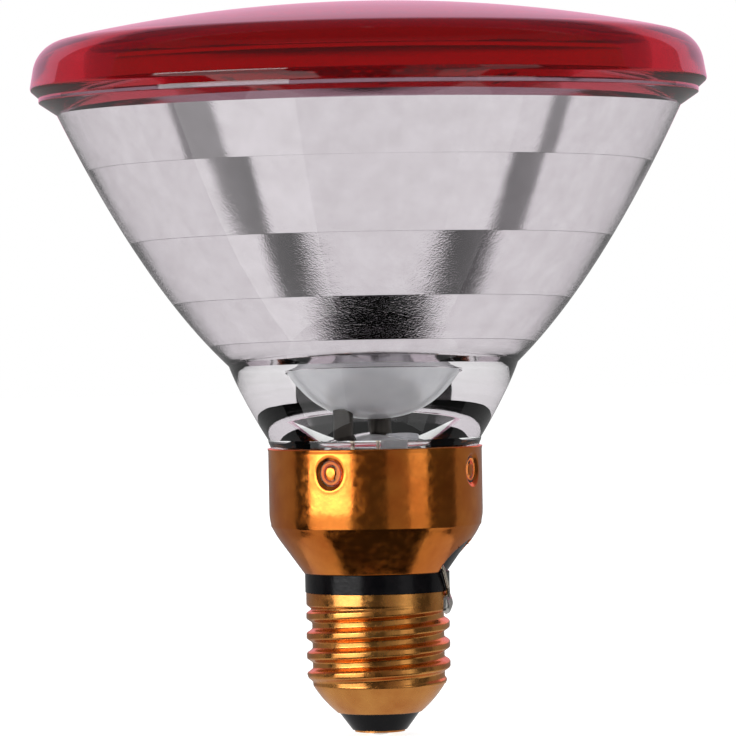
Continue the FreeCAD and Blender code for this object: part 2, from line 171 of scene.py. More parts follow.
FLANGE_EDGE = 0.9
FLANGE_ROUND = 0.3
FLANGE_SLOPE = 2.2
LENS_WALL = 3.2
LENS_CROWN_R = 262.0
LENS_TOP_R = LENS_R - 1.4
LENS_WIDEST_Z = FLANGE_Z + 1.4
LENS_EDGE = 0.9
LENS_SHOULDER = 6.5
CROWN_START_R = 50
CROWN_STEPS = 24
ROOM_R = 52.0
ROOM_TOP_R = ROOM_R - 0.6
ROOM_SHOULDER = 2.5
CEILING_START_R = 44
TUBE_GAP = 0.02
TUBE_STEPS = 10
GLASS_IOR = 1.51

# The mirror's grain starts over the ledge and gets finer higher up, between these heights in metres.
GRAIN_STARTS = ((LEDGE_Z + 1.5) * MM, (LEDGE_Z + 4.5) * MM)
GRAIN_FINER = (0.078, 0.1)

# How many faces the turned pieces have round the axis
AROUND = 320


# Profiles

def corner(before, here, after, radius, steps=8):
    """Points along a rounded corner of a profile."""
    a, b, c = Vector(before), Vector(here), Vector(after)
    back, ahead = (a - b).normalized(), (c - b).normalized()
    half = back.angle(ahead) / 2
    reach = radius / math.tan(half)
    centre = b + (back + ahead).normalized() * (radius / math.sin(half))
    start, end = b + back * reach - centre, b + ahead * reach - centre
    turn = start.angle(end)
    points = []
    for i in range(steps + 1):
        t = i / steps
        swing = start * math.sin((1 - t) * turn) + end * math.sin(t * turn)
        points.append(tuple(centre + swing / math.sin(turn)))
    return points


def bezier(poles, steps):
    """Points along a cubic curve with four poles."""
    a, b, c, d = [Vector(p) for p in poles]
    points = []
    for i in range(steps + 1):
        t = i / steps
        s = 1 - t
        points.append(tuple(a * s ** 3 + b * (3 * s * s * t) + c * (3 * s * t * t) + d * t ** 3))
    return points


def parabola_r(z, vertex, focus):
    return math.sqrt(4 * focus * (z - vertex))


def even_steps(start, end, count):
    return [start + (end - start) * j / count for j in range(count + 1)]


def crown_z(r, inset):
    """The height of the lens's crown, or of a face that lies deeper in it."""
    return CROWN_Z - LENS_CROWN_R + math.sqrt((LENS_CROWN_R - inset) ** 2 - r * r)


def smooth_step(low_edge, high_edge, value):
    t = min(max((value - low_edge) / (high_edge - low_edge), 0), 1)
    return t * t * (3 - 2 * t)


# Meshes

def link(thing):
    bpy.context.scene.collection.objects.link(thing)
    return thing


def finish_mesh(name, mesh, materials, sharp=35):
    """Makes a smooth piece from a mesh, with sharp edges where its faces turn by more than an angle."""
    bmesh.ops.recalc_face_normals(mesh, faces=mesh.faces)
    data = bpy.data.meshes.new(name)
    for face in mesh.faces:
        face.smooth = True
    mesh.to_mesh(data)
    mesh.free()
    data.set_sharp_from_angle(angle=math.radians(sharp))
    for material in materials:
        data.materials.append(material)
    piece = link(bpy.data.objects.new(name, data))
    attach(piece, "root")
    return piece


def turned(name, runs, materials, centre=(0, 0), sharp=35):
    """A closed turned mesh from runs of (radius, height) points, with one material for each run."""
    points = [point for run in runs for point in run]
    slots = [index for index, run in enumerate(runs) for _ in run]
    mesh = bmesh.new()
    rings = []
    for r, z in points:
        turns = range(AROUND) if r > 1e-6 else range(1)
        rings.append([
            mesh.verts.new((
                (centre[0] + r * math.sin(math.tau * k / AROUND)) * MM,
                (centre[1] - r * math.cos(math.tau * k / AROUND)) * MM,
                z * MM,
            ))
            for k in turns
        ])
    for i, ring in enumerate(rings):
        other = rings[(i + 1) % len(rings)]
        if len(ring) == len(other) == 1:
            continue
        for k in range(AROUND):
            after = (k + 1) % AROUND
            corners = [
                ring[k % len(ring)],
                ring[after % len(ring)],
                other[after % len(other)],
                other[k % len(other)],
            ]
            face = mesh.faces.new(list(dict.fromkeys(corners)))
            face.material_index = slots[(i + 1) % len(rings)]
    return finish_mesh(name, mesh, materials, sharp)


def wrapped(name, columns, heights, radius, material, keep=None, place=None):
    """A sheet wrapped round the axis, whose radius is given for each angle and height."""
    mesh = bmesh.new()
    grid = []
    for z in heights:
        row = []
        for k in range(columns):
            angle, height = math.tau * k / columns, z
            if place:
                angle, height = place(angle, z)
            r = radius(angle, height)
            row.append(mesh.verts.new((r * math.sin(angle) * MM, -r * math.cos(angle) * MM, height * MM)))
        grid.append(row)
    for j in range(len(heights) - 1):
        for k in range(columns):
            after = (k + 1) % columns
            middle = math.tau * (k + 0.5) / columns
            if keep and not keep(middle, (heights[j] + heights[j + 1]) / 2):
                continue
            mesh.faces.new([grid[j][k], grid[j][after], grid[j + 1][after], grid[j + 1][k]])
    bmesh.ops.delete(mesh, geom=[v for v in mesh.verts if not v.link_faces], context="VERTS")
    return finish_mesh(name, mesh, [material], sharp=60)


def thicken(piece, wall):
    """Gives a sheet its wall, inwards from its outer face."""
    solid = piece.modifiers.new("wall", "SOLIDIFY")
    solid.thickness = wall * MM
    solid.offset = -1
    return piece


# Materials

class Nodes:
    """A material's node tree with a short way to add nodes and links."""

    def __init__(self, name):
        self.material = bpy.data.materials.new(name)
        self.material.use_nodes = True
        self.tree = self.material.node_tree
        self.shader = self.tree.nodes["Principled BSDF"]

    def new(self, kind, inputs=None, **settings):
        node = self.tree.nodes.new("ShaderNode" + kind)
        for key, value in settings.items():
            setattr(node, key, value)
        self.set(node, inputs or {})
        return node

    def set(self, node, inputs):
        for key, value in inputs.items():
            if isinstance(value, bpy.types.NodeSocket):
                self.tree.links.new(value, node.inputs[key])
            else:
                node.inputs[key].default_value = value

    def where(self):
        return self.new("TexCoord").outputs["Object"]

    def noise(self, grain, detail=2.0, where=None):
        """Noise whose grain is given in millimetres."""
        inputs = {"Vector": where or self.where(), "Scale": 1 / (grain * MM), "Detail": detail}
        return self.new("TexNoise", inputs).outputs["Fac"]

    def blend(self, factor, first, second, low_edge=0.3, high_edge=0.7):
        """A colour between two, as a factor goes from one edge to the other."""
        ramp = self.new("ValToRGB", {"Fac": factor})
        ramp.color_ramp.elements[0].position = low_edge
        ramp.color_ramp.elements[1].position = high_edge
        ramp.color_ramp.elements[0].color = (*first, 1)
        ramp.color_ramp.elements[1].color = (*second, 1)
        return ramp.outputs["Color"]

    def spread(self, factor, first, second, low_edge=0.3, high_edge=0.7):
        """A number between two, as a factor goes from one edge to the other."""
        inputs = {
            "Value": factor,
            "From Min": low_edge,
            "From Max": high_edge,
            "To Min": first,
            "To Max": second,
        }
        return self.new("MapRange", inputs).outputs["Result"]

    def bump(self, height, depth, strength=1.0, after=None):
        """A bump whose full depth is given in millimetres."""
        inputs = {"Height": height, "Distance": depth * MM, "Strength": strength}
        if after:
            inputs["Normal"] = after
        return self.new("Bump", inputs).outputs["Normal"]


def metal(name, light, dark, roughness, grain=0.6, dents=0.004, smudge=1.3):
    """Bright sheet metal with faint tarnish, uneven polish and a fine grain."""
    nodes = Nodes(name)
    tarnish = nodes.noise(7, 5)
    polish = nodes.noise(1.5, 3)
    grain_bump = nodes.bump(nodes.noise(grain, 3), dents)
    nodes.set(nodes.shader, {
        "Base Color": nodes.blend(tarnish, light, dark),
        "Metallic": 1.0,
        "Roughness": nodes.spread(polish, roughness * 0.8, roughness * smudge),
        "Normal": nodes.bump(nodes.noise(5, 2), dents * 6, after=grain_bump),
    })
    return nodes.material


def clear_glass(name, colour=(0.97, 0.985, 0.98)):
    """Clear pressed glass, with faint waves from its mould."""
    nodes = Nodes(name)
    nodes.set(nodes.shader, {
        "Base Color": (*colour, 1),
        "Roughness": 0.0,
        "IOR": GLASS_IOR,
        "Transmission Weight": 1.0,
        "Normal": nodes.bump(nodes.noise(9, 1), 0.03),
    })
    return nodes.material


def mirror_coat():
    """The metal coat on the reflector's inside: grainy low in the bell and finer towards the lens."""
    nodes = Nodes("mirror_coat")
    where = nodes.where()
    height = nodes.new("SeparateXYZ", {"Vector": where}).outputs["Z"]
    smooth_ledge = nodes.spread(height, 0.0, 1.0, *GRAIN_STARTS)
    finer_above = nodes.spread(height, 1.0, 0.25, *GRAIN_FINER)
    coarse = nodes.new("Math", {0: smooth_ledge, 1: finer_above}, operation="MULTIPLY").outputs[0]
    grain = nodes.bump(nodes.noise(0.3, 2, where), 0.014, coarse)
    nodes.set(nodes.shader, {
        "Base Color": nodes.blend(nodes.noise(4, 4, where), (0.64, 0.585, 0.62), (0.7, 0.645, 0.685)),
        "Metallic": 1.0,
        "Roughness": 0.05,
        "Normal": nodes.bump(nodes.noise(2.2, 2, where), 0.008, coarse, grain),
    })
    return nodes.material


def fused_seam():
    """Inside the fused joint of lens and reflector, where light goes straight on."""
    nodes = Nodes("fused_seam")
    clear = nodes.new("BsdfTransparent", {"Color": (1, 1, 1, 1)})
    nodes.set(nodes.tree.nodes["Material Output"], {"Surface": clear.outputs[0]})
    return nodes.material


def red_glass(name, stippled, colour=(0.5, 0.01, 0.018), clear=0.96):
    """Ruby glass, faintly streaked round its side and stippled with small round lenses inside the crown."""
    nodes = Nodes(name)
    where = nodes.where()
    if stippled:
        dots = nodes.new("TexVoronoi", {"Vector": where, "Scale": 1 / (2.5 * MM), "Randomness": 0.3})
        normal = nodes.bump(nodes.spread(dots.outputs["Distance"], 1.0, 0.0, 0.0, 0.5), 0.25)
    else:
        flattened = nodes.new("VectorMath", {0: where, 1: (0.06, 0.06, 1)}, operation="MULTIPLY").outputs[0]
        normal = nodes.bump(nodes.noise(2.4, 1, flattened), 0.016)
    nodes.set(nodes.shader, {
        "Base Color": (*colour, 1),
        "Roughness": 0.05,
        "IOR": GLASS_IOR,
        "Transmission Weight": clear,
        "Normal": normal,
    })
    return nodes.material


def black_moulding(name, roughness):
    nodes = Nodes(name)
    nodes.set(nodes.shader, {
        "Base Color": nodes.blend(nodes.noise(2, 3), (0.002, 0.002, 0.003), (0.006, 0.005, 0.006)),
        "Roughness": nodes.spread(nodes.noise(1.2, 3), roughness, roughness + 0.08),
        "Specular IOR Level": 0.2,
        "Normal": nodes.bump(nodes.noise(0.8, 3), 0.02),
    })
    return nodes.material


def matt(name, light, dark, grain, roughness=0.8, depth=0.02):
    nodes = Nodes(name)
    nodes.set(nodes.shader, {
        "Base Color": nodes.blend(nodes.noise(grain * 3, 3), light, dark),
        "Roughness": roughness,
        "Normal": nodes.bump(nodes.noise(grain, 3), depth),
    })
    return nodes.material


def tip_glass_painted_white():
    """The exhaust tube's closed end, whose glass is painted white: a painted highlight for the light its
    round tip shows.
    """
    nodes = Nodes("tip_glass_painted_white")
    nodes.set(nodes.shader, {
        "Base Color": nodes.blend(nodes.noise(2, 2), (0.82, 0.83, 0.9), (0.9, 0.9, 0.94)),
        "Roughness": 0.2,
        "IOR": GLASS_IOR,
        "Transmission Weight": 0.25,
        "Normal": nodes.bump(nodes.noise(3, 1), 0.03),
    })
    return nodes.material


def bowl_coat_painted_light():
    """The metal coat in the small bowl, pale and mostly matt: its brightness is painted light that stands in
    for the bowl's bright reflection.
    """
    nodes = Nodes("bowl_coat_painted_light")
    nodes.set(nodes.shader, {
        "Base Color": nodes.blend(nodes.noise(3, 3), (0.86, 0.85, 0.9), (0.93, 0.92, 0.96)),
        "Metallic": 0.15,
        "Roughness": 0.28,
        "Normal": nodes.bump(nodes.noise(1.2, 2), 0.008),
    })
    return nodes.material


SKIRT_BRASS = metal("skirt_brass", (0.96, 0.31, 0.055), (0.7, 0.17, 0.028), 0.12, dents=0.007, smudge=2.2)
SHELL_BRASS = metal("shell_brass", (0.92, 0.42, 0.11), (0.66, 0.23, 0.055), 0.18, dents=0.007, smudge=2.0)
SOLDER = metal("solder", (0.78, 0.76, 0.72), (0.6, 0.57, 0.53), 0.25, 0.5, 0.02)
WIRE = metal("tinned_wire", (0.88, 0.8, 0.7), (0.75, 0.64, 0.5), 0.2)
STEEL = metal("lead_wire", (0.52, 0.51, 0.5), (0.4, 0.39, 0.38), 0.35)
TUNGSTEN = metal("tungsten", (0.32, 0.32, 0.33), (0.22, 0.22, 0.23), 0.5)
FERRULE = metal("ferrule_metal", (0.07, 0.062, 0.056), (0.035, 0.031, 0.028), 0.35)
GLASS = clear_glass("clear_glass")
# The flange is clear glass. Its mauve tint is painted light that stands in for the red lens seen through it.
RIM_GLASS_PAINTED_TINT = red_glass("rim_glass_painted_tint", False, (0.38, 0.24, 0.29), 0.96)
# The exhaust tip's white glass is a painted highlight.
TIP_GLASS_PAINTED_WHITE = tip_glass_painted_white()
MIRROR = mirror_coat()
# The bowl's pale coat is painted light.
BOWL = bowl_coat_painted_light()
RED = red_glass("red_glass", False)
# A darker, less clear copy of the red glass for the lens's foot and edge: painted shade.
RED_FOOT_SHADED = red_glass("red_glass_foot_shaded", False, (0.36, 0.014, 0.024), 0.93)
RED_STIPPLE = red_glass("red_glass_stippled", True)
SEAM = fused_seam()
BLACK = black_moulding("black_moulding", 0.14)
BLACK_GLASS = black_moulding("black_glass", 0.08)
CERAMIC = matt("ceramic", (0.82, 0.81, 0.77), (0.72, 0.7, 0.65), 0.4)
BRAID = matt("glass_braid", (0.85, 0.84, 0.79), (0.7, 0.68, 0.62), 0.3, 0.9, 0.08)


# Front lens

def front_lens():
    shoulder = (LENS_TOP_R, crown_z(LENS_TOP_R, 0))
    foot = (FLANGE_R, FLANGE_Z)
    widest = (LENS_R, LENS_WIDEST_Z)
    crown_start = (CROWN_START_R, crown_z(CROWN_START_R, 0))
    rim = corner(foot, widest, shoulder, LENS_EDGE)
    outside = corner(widest, shoulder, crown_start, LENS_SHOULDER, 16)
    edge = outside[-1][0]
    radii = [edge * (1 - i / CROWN_STEPS) for i in range(1, CROWN_STEPS + 1)]
    outside += [(r, crown_z(r, 0)) for r in radii]
    room_foot = (ROOM_R, FLANGE_Z)
    room_top = (ROOM_TOP_R, crown_z(ROOM_TOP_R, LENS_WALL))
    ceiling_start = (CEILING_START_R, crown_z(CEILING_START_R, LENS_WALL))
    inner_shoulder = corner(room_foot, room_top, ceiling_start, ROOM_SHOULDER)
    edge = inner_shoulder[-1][0]
    radii = [edge * i / CROWN_STEPS for i in range(CROWN_STEPS)]
    ceiling = [(r, crown_z(r, LENS_WALL)) for r in radii]
    side = list(reversed(inner_shoulder)) + [room_foot]
    piece = turned("lens", [rim, outside, ceiling, side, [foot]], [RED_FOOT_SHADED, RED, RED_STIPPLE, RED, SEAM])
    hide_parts("front_lens")


# Reflector

def reflector_outside():
    """The glass from the top of the neck's hollow out over the collar and bell, and then the flange."""
    edge_z = FLANGE_Z - FLANGE_EDGE
    bell_top = edge_z - FLANGE_SLOPE
    break_r = parabola_r(BREAK_Z, BELL_VERTEX_Z, BELL_FOCUS)
    spread, rise = break_r - NECK_R, BREAK_Z - NECK_Z
    points = []
    for i in range(HOLLOW_STEPS):
        t = i / HOLLOW_STEPS
        points.append((HOLLOW_R * i / HOLLOW_STEPS, HOLLOW_Z - HOLLOW_SAG * t ** HOLLOW_POWER))
    hollow_edge = (HOLLOW_R, HOLLOW_Z - HOLLOW_SAG)
    points += corner(points[-1], hollow_edge, (HOLLOW_R, COLLAR_Z), HOLLOW_EDGE, 4)
    collar_top = (COLLAR_R, COLLAR_TOP_Z)
    points += [(HOLLOW_R, COLLAR_Z), (COLLAR_R, COLLAR_Z), collar_top]
    points += corner(collar_top, (NECK_R, NECK_FOOT_Z), (NECK_R, NECK_Z), NECK_ROUND, 5)[1:]
    poles = [(NECK_R + spread * out, NECK_Z + rise * up) for out, up in NECK_POLES]
    points += bezier([(NECK_R, NECK_Z), *poles, (break_r, BREAK_Z)], NECK_STEPS)
    for z in even_steps(BREAK_Z, bell_top, BELL_STEPS)[1:]:
        points.append((parabola_r(z, BELL_VERTEX_Z, BELL_FOCUS), z))
    flange = corner(points[-1], (FLANGE_R, edge_z), (FLANGE_R, FLANGE_Z), FLANGE_ROUND, 4)
    return points, flange + [(FLANGE_R, FLANGE_Z)]


def mirror_side():
    """The mirror from the rim down over its conical bands to the ledge, and then the bowl."""
    levels = [FLANGE_Z] + BAND_LEVELS[::-1] + [LEDGE_Z]
    bands = []
    for upper, lower in zip(levels, levels[1:]):
        top_r = parabola_r(upper, MIRROR_VERTEX_Z, MIRROR_FOCUS)
        foot_r = parabola_r(lower, MIRROR_VERTEX_Z, MIRROR_FOCUS)
        top_step = 0 if upper == FLANGE_Z else BAND_STEP
        foot_step = 0 if lower == LEDGE_Z else BAND_STEP
        narrowing = foot_r + foot_step - top_r + top_step
        for i in range(BAND_ROWS + 1):
            t = i / BAND_ROWS
            bands.append((top_r - top_step + narrowing * t, upper + (lower - upper) * t))
    bands += corner(bands[-1], (BOWL_R, BOWL_RIM_Z), BOWL_SIDE, BOWL_EDGE, 5)
    edge = bands[-1][0]
    bowl = []
    for i in range(1, BOWL_STEPS + 1):
        r = edge * math.cos(math.pi / 2 * i / BOWL_STEPS) if i < BOWL_STEPS else 0
        bowl.append((r, BOWL_Z + (BOWL_RIM_Z - BOWL_Z) * (r / BOWL_R) ** BOWL_POWER))
    return bands, bowl


def reflector():
    outside, flange = reflector_outside()
    bands, bowl = mirror_side()
    runs = [outside, flange, bands[:1], bands[1:], bowl]
    piece = turned("reflector", runs, [GLASS, RIM_GLASS_PAINTED_TINT, SEAM, MIRROR, BOWL], sharp=25)
    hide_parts("reflector_glass")


def exhaust_tube():
    centre = ((TUBE_LOW.x + TUBE_HIGH.x) / 2, (TUBE_LOW.y + TUBE_HIGH.y) / 2)
    outer_r = (TUBE_HIGH.x - TUBE_LOW.x) / 2
    inner_r = outer_r / 2
    tip, root = TUBE_LOW.z, TUBE_HIGH.z - TUBE_GAP
    ends = [math.radians(90 * i / TUBE_STEPS) for i in range(TUBE_STEPS + 1)]
    outside = [(outer_r * math.sin(a), tip + outer_r * (1 - math.cos(a))) for a in ends]
    inside = [(inner_r * math.cos(a), tip + outer_r - inner_r * math.sin(a)) for a in ends]
    rim = [(outer_r, root), (inner_r, root)]
    piece = turned("exhaust_tip", [outside + rim + inside], [TIP_GLASS_PAINTED_WHITE], centre)
    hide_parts("exhaust_tube")


# Cap

def thread_r(angle, z):
    """The shell's radius: taper, then a right-hand thread that fades into the plain band."""
    if z < TAPER_Z:
        t = (TAPER_Z - z) / (TAPER_Z - SHELL_Z)
        return ROOT_R - (ROOT_R - TAPER_END_R) * t + TAPER_BULGE * t * (1 - t)
    crest_z = CREST_AT_RIGHT + PITCH * (angle / math.tau - 0.25)
    wave = 0.5 + 0.5 * math.cos(math.tau * (z - crest_z) / PITCH)
    wave = smooth_step(*THREAD_FLATS, wave)
    thread = ROOT_R + (CREST_R - ROOT_R) * wave * smooth_step(THREAD_START, THREAD_FULL, z)
    band = smooth_step(BAND_FOOT, BAND_FOOT + BAND_FADE, z)
    return thread * (1 - band) + BAND_R * band


def screw_shell():
    heights = even_steps(SHELL_Z, RING_Z, SHELL_ROWS)
    sheet = wrapped("thread_shell", SHELL_COLUMNS, heights, thread_r, SHELL_BRASS)
    piece = thicken(sheet, SHELL_SHEET)
    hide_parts("screw_shell")


def skirt_r(angle, z):
    """The skirt's radius: a cone, a soft knee, a straight wall, a flared lip and four dimples with bosses."""
    slope = (SKIRT_R - SKIRT_END_R) / (KNEE_Z - SKIRT_Z)
    cone = SKIRT_END_R + slope * (z - SKIRT_Z)
    away = (z - KNEE_Z) / KNEE_REACH
    soft = KNEE_REACH * slope * KNEE_SOFTNESS
    r = min(cone, SKIRT_R) - soft * math.exp(-away * away)
    if z > LIP_Z - LIP_HEIGHT:
        r += LIP_FLARE * smooth_step(LIP_Z - LIP_HEIGHT, LIP_Z, z)
    for quarter in range(4):
        turn = math.remainder(angle - math.radians(DIMPLE_ANGLE + 90 * quarter), math.tau)
        if abs(turn) < DIMPLE_TURN:
            reach = math.hypot(turn * SKIRT_R, (z - DIMPLE_Z) * DIMPLE_SQUASH)
            press = 1 - smooth_step(DIMPLE_FLOOR, DIMPLE_MOUTH, reach)
            boss = 1 - smooth_step(BOSS_TOP_R, BOSS_FOOT_R, reach)
            rim = math.exp(-((reach - DIMPLE_MOUTH) / DIMPLE_RIM_WIDTH) ** 2)
            r += rim * DIMPLE_RIM_RISE - DIMPLE_DEPTH * (press - BOSS_RISE * boss)
    return r


def slot_reach(angle, z):
    """How far a place on the skirt lies from the middle of its slot, across and up."""
    turn = math.remainder(angle - math.radians(SLOT_ANGLE), math.tau)
    return turn * SLOT_WALL_R, z - SKIRT_Z


def outside_slot(angle, z):
    across, up = slot_reach(angle, z)
    return math.hypot(across, up) > SLOT_R


def round_slot(angle, z):
    """Moves points next to the slot on to its round edge."""
    across, up = slot_reach(angle, z)
    reach = math.hypot(across, up)
    if abs(reach - SLOT_R) < SLOT_SNAP and up > 0:
        across, up = across * SLOT_R / reach, up * SLOT_R / reach
        return math.radians(SLOT_ANGLE) + across / SLOT_WALL_R, SKIRT_Z + up
    return angle, z


def brass_skirt():
    heights = even_steps(SKIRT_Z, LIP_Z, SKIRT_ROWS)
    sheet = wrapped("skirt_sheet", SKIRT_COLUMNS, heights, skirt_r, SKIRT_BRASS, outside_slot, round_slot)
    piece = thicken(sheet, SKIRT_SHEET)
    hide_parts("brass_skirt")


def side_solder():
    """A soft lump of solder on the shell's band, drawn out along the wire."""
    lowest, highest = low("side_solder"), high("side_solder")
    middle = (lowest + highest) / 2
    angle = math.atan2(middle.x, -middle.y)
    half = (highest.z - lowest.z) / 2
    mesh = bmesh.new()
    rings = []
    for j in range(SOLDER_RINGS + 1):
        reach = j / SOLDER_RINGS
        ring = []
        for k in range(SOLDER_AROUND if j else 1):
            turn = math.tau * k / SOLDER_AROUND
            wobble = 1 + 0.09 * math.sin(2 * turn + 0.6) + 0.05 * math.sin(5 * turn)
            across = reach * half * wobble * math.sin(turn)
            up = reach * half * wobble * math.cos(turn)
            uneven = 1 + 0.08 * math.sin(3 * across + 2 * up)
            rise = SOLDER_RISE * math.sqrt(max(1 - reach ** 2.2, 0)) * uneven
            r, a = BAND_R - SOLDER_SINK + rise, angle + across / BAND_R
            z = min(middle.z + up, RING_Z - SOLDER_GAP)
            ring.append(mesh.verts.new((r * math.sin(a) * MM, -r * math.cos(a) * MM, z * MM)))
        rings.append(ring)
    for inner, outer in zip(rings, rings[1:]):
        for k in range(SOLDER_AROUND):
            after = (k + 1) % SOLDER_AROUND
            corners = [inner[k % len(inner)], outer[k], outer[after], inner[after % len(inner)]]
            mesh.faces.new(list(dict.fromkeys(corners)))
    piece = finish_mesh("solder_lump", mesh, [SOLDER])
    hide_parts("side_solder")


def filament():
    """The filament's fine turns as a wire helix along the CAD tube."""
    lowest, highest = low("filament_coil"), high("filament_coil")
    middle = (lowest + highest) / 2
    run = Vector((highest.x - lowest.x, highest.y - lowest.y, 0))
    along = run.normalized()
    length = run.length - COIL_ENDS
    across = Vector((-along.y, along.x, 0))
    last = COIL_TURNS * COIL_STEPS
    curve = bpy.data.curves.new("filament_turns", "CURVE")
    curve.dimensions = "3D"
    curve.bevel_depth = COIL_WIRE_R * MM
    curve.bevel_resolution = 2
    line = curve.splines.new("POLY")
    line.points.add(last)
    for i in range(last + 1):
        turn = math.tau * i / COIL_STEPS
        spot = middle + along * length * (i / last - 0.5)
        spot += across * COIL_R * math.cos(turn) + Vector((0, 0, COIL_R * math.sin(turn)))
        line.points[i].co = (*(spot * MM), 1)
    curve.materials.append(TUNGSTEN)
    piece = link(bpy.data.objects.new("filament_turns", curve))
    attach(piece, "root")
    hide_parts("filament_coil")


CAD_FINISHES = {
    "ferrule_left": FERRULE,
    "ferrule_right": FERRULE,
    "filament_lead_left": STEEL,
    "filament_lead_right": STEEL,
    "filament_support": STEEL,
    "filament_bridge": CERAMIC,
    "cap_insulator": BLACK,
    "contact_insulator": BLACK_GLASS,
    "centre_contact": SHELL_BRASS,
    "centre_solder": SOLDER,
    "centre_wire": WIRE,
    "wire_sleeve": BRAID,
    "side_wire": WIRE,
}

front_lens()
reflector()
exhaust_tube()
screw_shell()
brass_skirt()
side_solder()
filament()
for node, finish in CAD_FINISHES.items():
    for holder in frame["nodes"][node].material_slots:
        holder.material = finish


# Studio

WHITE = (1, 1, 1)
MAUVE = (0.95, 0.48, 0.66)


def flat_mesh(name, points, faces, material):
    data = bpy.data.meshes.new(name)
    data.from_pydata(points, [], faces)
    data.materials.append(material)
    return link(bpy.data.objects.new(name, data))


def floor_material():
    """Paper that looks white, keeps the lamp's shadow and is pure white in gloss and through glass."""
    nodes = Nodes("floor_paper")
    path = nodes.new("LightPath")
    rays = {0: path.outputs["Is Glossy Ray"], 1: path.outputs["Is Transmission Ray"]}
    seen = nodes.new("Math", rays, operation="MAXIMUM")
    direct = path.outputs["Is Camera Ray"]
    paper = nodes.new("BsdfDiffuse", {"Color": (0.8, 0.8, 0.8, 1)})
    lift = nodes.new("Emission", {"Strength": 0.75})
    lifted = nodes.new("AddShader", {0: paper.outputs[0], 1: lift.outputs[0]})
    shown = nodes.new("MixShader", {"Fac": direct, 1: paper.outputs[0], 2: lifted.outputs[0]})
    white = nodes.new("Emission", {"Strength": 1.0})
    mixed = nodes.new("MixShader", {"Fac": seen.outputs[0], 1: shown.outputs[0], 2: white.outputs[0]})
    nodes.set(nodes.tree.nodes["Material Output"], {"Surface": mixed.outputs[0]})
    return nodes.material


def card_material(name, strength, colour=WHITE):
    nodes = Nodes(name)
    glow = nodes.new("Emission", {"Color": (*colour, 1), "Strength": strength})
    nodes.set(nodes.tree.nodes["Material Output"], {"Surface": glow.outputs[0]})
    return nodes.material


def faded_material(name, axis, strengths, reach, colour=WHITE):
    """A card's glow that goes from one strength to another along an axis, alike on both sides of the lamp."""
    nodes = Nodes(name)
    along = nodes.new("SeparateXYZ", {"Vector": nodes.where()}).outputs[axis]
    away = nodes.new("Math", {0: along}, operation="ABSOLUTE").outputs[0]
    glow = nodes.new("Emission", {"Color": (*colour, 1), "Strength": nodes.spread(away, *strengths, *reach)})
    nodes.set(nodes.tree.nodes["Material Output"], {"Surface": glow.outputs[0]})
    return nodes.material


def stage_card(name, points, faces, material, glossy, through):
    """A card that only gloss, or only what is seen through glass, shows."""
    card = flat_mesh(name, points, faces, material)
    card.visible_camera = False
    card.visible_diffuse = False
    card.visible_shadow = False
    card.visible_glossy = glossy
    card.visible_transmission = through


def row_faces(count):
    """Faces between two rows of points that stand in one list, one row after the other."""
    return [(i, i + 1, i + 1 + count, i + count) for i in range(count - 1)]


def arc_card(name, azimuths, inner, outer, material, glossy=True, through=False):
    """A card between two rings round the lamp, each given by its radius and height."""
    start, end = azimuths
    steps = max(1, round((end - start) / 8))
    turns = [math.radians(start + (end - start) * i / steps) for i in range(steps + 1)]
    points = [(r * math.sin(t), -r * math.cos(t), z) for r, z in (inner, outer) for t in turns]
    stage_card(name, points, row_faces(len(turns)), material, glossy, through)


def through_card(name, azimuths, inner, outer, material):
    arc_card(name, azimuths, inner, outer, material, glossy=False, through=True)


# The studio's measures are in metres.
CARD_REACH = 0.9
CARD_TOP = 0.3
CARD_LIFT = 0.0006
THROUGH_LIFT = 0.001
FRONT_TOP = 1.2
BACK_TOP = 0.9
BACK_REACH = CARD_REACH - 0.02
APEX = (0.02, 1.3)
FRONT_SPAN = (-95, 95)
FRONT_FLOOR_SPAN = (-30, 30)
BACK_SPAN = (95, 265)
BACKDROP_SPAN = (130, 230)
BACK_FLOOR_SPAN = (158, 202)
SIDE_SPANS = ((95, 130), (230, 265))

# Cards for gloss: from and to azimuth in degrees, from the lamp's front towards +X, then how bright they are
# upright and on the floor.
CARDS = (
    (-95, -74, 0.05, 0.03),
    (-74, -26, 5.0, 1.1),
    (-26, 12, 0.07, 0.06),
    (12, 36, 0.26, 0.25),
    (36, 57, 0.85, 0.6),
    (57, 95, 0.07, 0.07),
    (95, 265, 0.26, 0.26),
)
FOOT_CARDS = ((-62, 62, 0.02), (62, 298, 0.5))
FOOT_REACH = (0.02, 0.055)
NOSE_REACH = 0.003

# The dark strip on the floor: places along X, its middle in Y there, and half its width.
STRIP = (
    (-0.24, -0.064, 0.028),
    (-0.175, -0.06, 0.028),
    (-0.113, -0.071, 0.014),
    (-0.067, -0.056, 0.013),
    (0, -0.052, 0.012),
    (0.072, -0.052, 0.014),
    (0.137, -0.046, 0.017),
    (0.193, -0.044, 0.012),
    (0.24, -0.04, 0.01),
)


